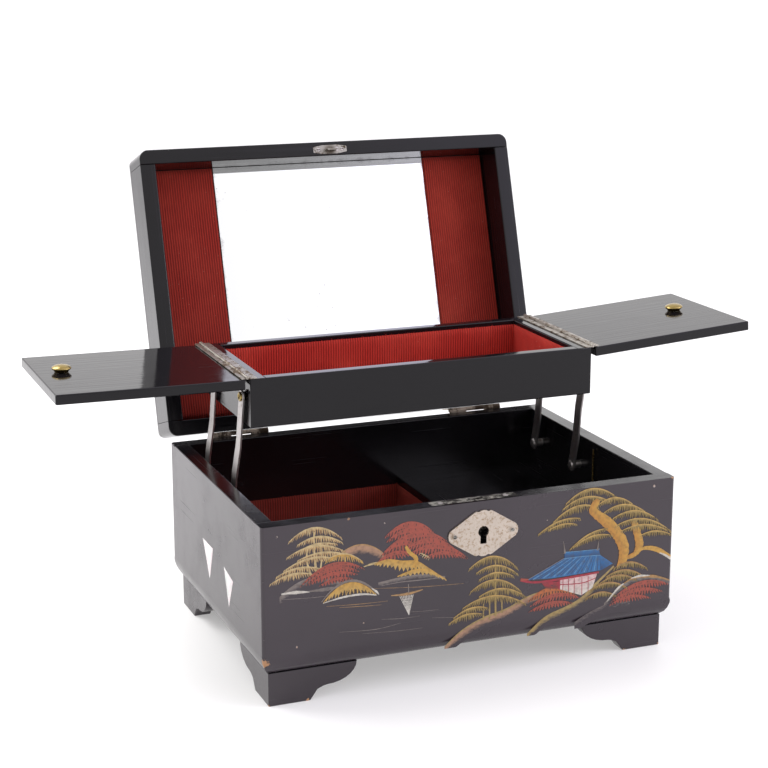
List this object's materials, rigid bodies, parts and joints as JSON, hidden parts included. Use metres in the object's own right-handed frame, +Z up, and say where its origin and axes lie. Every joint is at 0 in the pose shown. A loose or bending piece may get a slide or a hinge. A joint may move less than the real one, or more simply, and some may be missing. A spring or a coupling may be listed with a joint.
{
  "type": "jewelry box",
  "caption": "Lacquered jewelry box on bracket feet, with a mirrored lid that lifts a lined tray on arms, fold-over flaps, a front lock and a musical movement.",
  "frame": {"origin": "bottom centre of the whole open box, on the surface its feet stand on", "axes": "+X to the right along the front, +Y to the back, +Z up"},
  "size_m": [0.4579, 0.2811, 0.2927],
  "materials": {
    "lacquer": "black gloss lacquer over softwood, hand-painted, worn at the edges",
    "fabric": "red ribbed rayon cloth",
    "mirror": "silvered glass with light foxing",
    "steel": "plated steel, dulled",
    "brass": "polished brass, lightly tarnished",
    "pewter": "worn plated escutcheon"
  },
  "bodies": {
    "base": {"base_front": "lacquer", "base_back": "lacquer", "base_left": "lacquer", "base_right": "lacquer", "base_bottom": "lacquer", "foot_front_left": "lacquer", "foot_front_right": "lacquer", "foot_rear_left": "lacquer", "foot_rear_right": "lacquer", "partition": "lacquer", "movement_cover": "lacquer", "compartment_lining": "fabric", "escutcheon": "pewter", "lock_body": "steel", "hinge_base_leaf_left": "steel", "hinge_base_leaf_right": "steel", "movement_frame": "brass", "base_pivot_front_left": "steel", "base_pivot_front_right": "steel", "base_pivot_rear_left": "steel", "base_pivot_rear_right": "steel"},
    "lid": {"lid_front": "lacquer", "lid_back": "lacquer", "lid_left": "lacquer", "lid_right": "lacquer", "lid_top": "lacquer", "mirror": "mirror", "lid_pad_left": "fabric", "lid_pad_right": "fabric", "lid_catch": "steel", "hinge_lid_leaf_left": "steel", "hinge_lid_leaf_right": "steel"},
    "front_arms": {"arm_front_left": "steel", "arm_front_right": "steel"},
    "rear_arms": {"arm_rear_left": "steel", "arm_rear_right": "steel"},
    "tray": {"tray_left": "lacquer", "tray_right": "lacquer", "tray_front": "lacquer", "tray_back": "lacquer", "tray_bottom": "lacquer", "tray_lining": "fabric", "flap_hinge_tray_leaf_left": "steel", "flap_hinge_tray_leaf_right": "steel", "tray_rivet_front_left": "brass", "tray_rivet_front_right": "brass", "tray_rivet_rear_left": "brass", "tray_rivet_rear_right": "brass"},
    "lift_links": {"lift_link_left": "steel", "lift_link_right": "steel"},
    "flap_left": {"flap_left": "lacquer", "flap_hinge_flap_leaf_left": "steel", "knob_left": "brass"},
    "flap_right": {"flap_right": "lacquer", "flap_hinge_flap_leaf_right": "steel", "knob_right": "brass"},
    "lock_bolt": {"lock_bolt": "brass"},
    "movement_cylinder": {"movement_cylinder": "brass"},
    "winding_key": {"winding_key": "steel"},
    "stop_wire": {"stop_wire": "brass"}
  },
  "joints": [
    {"name": "lid_hinge", "type": "hinge", "parent": "base", "child": "lid", "pos_m": [0, 0.0515, 0.11125], "axis": [1, 0, 0], "range_deg": [0, 99]},
    {"name": "front_arm_swing", "type": "hinge", "parent": "base", "child": "front_arms", "pos_m": [0, -0.03375, 0.0905], "axis": [1, 0, 0], "range_deg": [-0.5, 66]},
    {"name": "rear_arm_swing", "type": "hinge", "parent": "base", "child": "rear_arms", "pos_m": [0, 0.02225, 0.0905], "axis": [1, 0, 0], "range_deg": [-0.5, 66]},
    {"name": "tray_level", "type": "hinge", "parent": "front_arms", "child": "tray", "pos_m": [0, -0.05183, 0.16355], "axis": [1, 0, 0], "range_deg": [-66, 0.5]},
    {"name": "lift_link_swing", "type": "hinge", "parent": "tray", "child": "lift_links", "pos_m": [0, 0.03267, 0.16505], "axis": [1, 0, 0], "range_deg": [-0.5, 50]},
    {"name": "flap_left_hinge", "type": "hinge", "parent": "tray", "child": "flap_left", "pos_m": [-0.11455, -0.0135, 0.17735], "axis": [0, 1, 0], "range_deg": [0, 178.4]},
    {"name": "flap_right_hinge", "type": "hinge", "parent": "tray", "child": "flap_right", "pos_m": [0.11455, -0.0135, 0.17735], "axis": [0, -1, 0], "range_deg": [0, 175.2]},
    {"name": "lock_bolt_slide", "type": "slide", "parent": "base", "child": "lock_bolt", "axis": [1, 0, 0], "range_m": [0, 0.008]},
    {"name": "cylinder_turn", "type": "hinge", "parent": "base", "child": "movement_cylinder", "pos_m": [0.06, -0.0685, 0.042], "axis": [1, 0, 0], "continuous": true},
    {"name": "winding_key_turn", "type": "hinge", "parent": "base", "child": "winding_key", "pos_m": [0.086, -0.0685, 0.01], "axis": [0, 0, 1], "continuous": true},
    {"name": "stop_wire_press", "type": "slide", "parent": "base", "child": "stop_wire", "axis": [0, 0, -1], "range_m": [0, 0.003], "stiffness_N_per_m": 150}
  ],
  "couplings": [
    {"joint": "front_arm_swing", "follows": "lid_hinge", "ratio": 0.66},
    {"joint": "rear_arm_swing", "follows": "lid_hinge", "ratio": 0.66},
    {"joint": "tray_level", "follows": "lid_hinge", "ratio": -0.66},
    {"joint": "lift_link_swing", "follows": "lid_hinge", "ratio": 0.49031}
  ]
}
